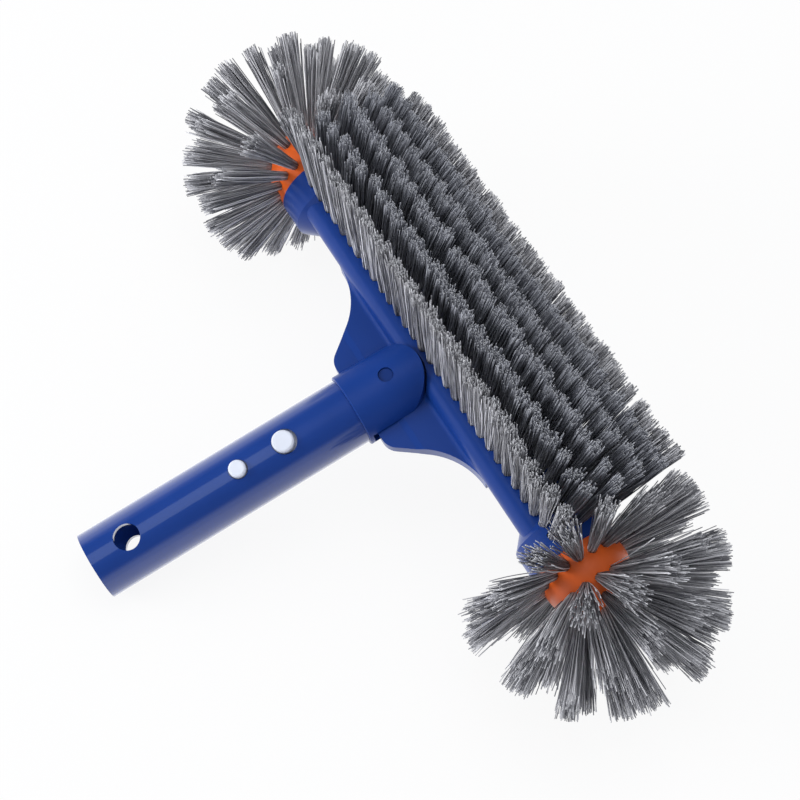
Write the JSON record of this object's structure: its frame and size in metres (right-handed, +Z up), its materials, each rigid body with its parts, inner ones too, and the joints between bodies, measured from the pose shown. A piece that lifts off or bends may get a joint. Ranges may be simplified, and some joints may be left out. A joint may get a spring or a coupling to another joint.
{
  "type": "pool wall brush",
  "caption": "Pool wall brush: curved bar with rows of bristle tufts, a round brush plugged into each end, and a swivelling tube handle with spring buttons for a pole.",
  "frame": {"origin": "centre of the handle's open mouth, on the axis of the tube that a pole slides over", "axes": "+X along the bar, +Z up as the brush lies on its end tufts and the rim of its handle, +Y from the handle towards the bar"},
  "size_m": [0.359, 0.2365, 0.1247],
  "materials": {
    "blue_plastic": "satin moulded",
    "orange_plastic": "satin moulded",
    "bristle_nylon": "crimped nylon",
    "white_plastic": "smooth moulded"
  },
  "bodies": {
    "handle": {"handle": "blue_plastic", "pivot_pin": "blue_plastic", "clip_bend": "white_plastic"},
    "brush": {"bar_body": "blue_plastic", "tuft_row_1": "bristle_nylon", "tuft_row_2": "bristle_nylon", "tuft_row_3": "bristle_nylon", "tuft_row_4": "bristle_nylon", "tuft_row_5": "bristle_nylon", "tuft_row_6": "bristle_nylon", "right_hub": "orange_plastic", "right_rim_tufts": "bristle_nylon", "right_shoulder_tufts": "bristle_nylon", "right_dome_tufts": "bristle_nylon", "left_hub": "orange_plastic", "left_rim_tufts": "bristle_nylon", "left_shoulder_tufts": "bristle_nylon", "left_dome_tufts": "bristle_nylon"},
    "near_arm": {"near_clip_arm": "white_plastic"},
    "far_arm": {"far_clip_arm": "white_plastic"}
  },
  "joints": [
    {"name": "swivel", "type": "hinge", "parent": "handle", "child": "brush", "pos_m": [0, 0.1452, 0.04144], "axis": [0, -0.2744, 0.9616], "range_deg": [-6, 6]},
    {"name": "near_button_press", "type": "hinge", "parent": "handle", "child": "near_arm", "pos_m": [0.00108, 0.04431, 0.02329], "axis": [-0.9945, -0.0287, 0.1005], "range_deg": [0, 5.5], "stiffness_Nm_per_rad": 0.4},
    {"name": "far_button_press", "type": "hinge", "parent": "handle", "child": "far_arm", "pos_m": [-0.00108, 0.04993, 0.0036], "axis": [0.9945, 0.0287, -0.1005], "range_deg": [0, 5.5], "stiffness_Nm_per_rad": 0.4}
  ]
}
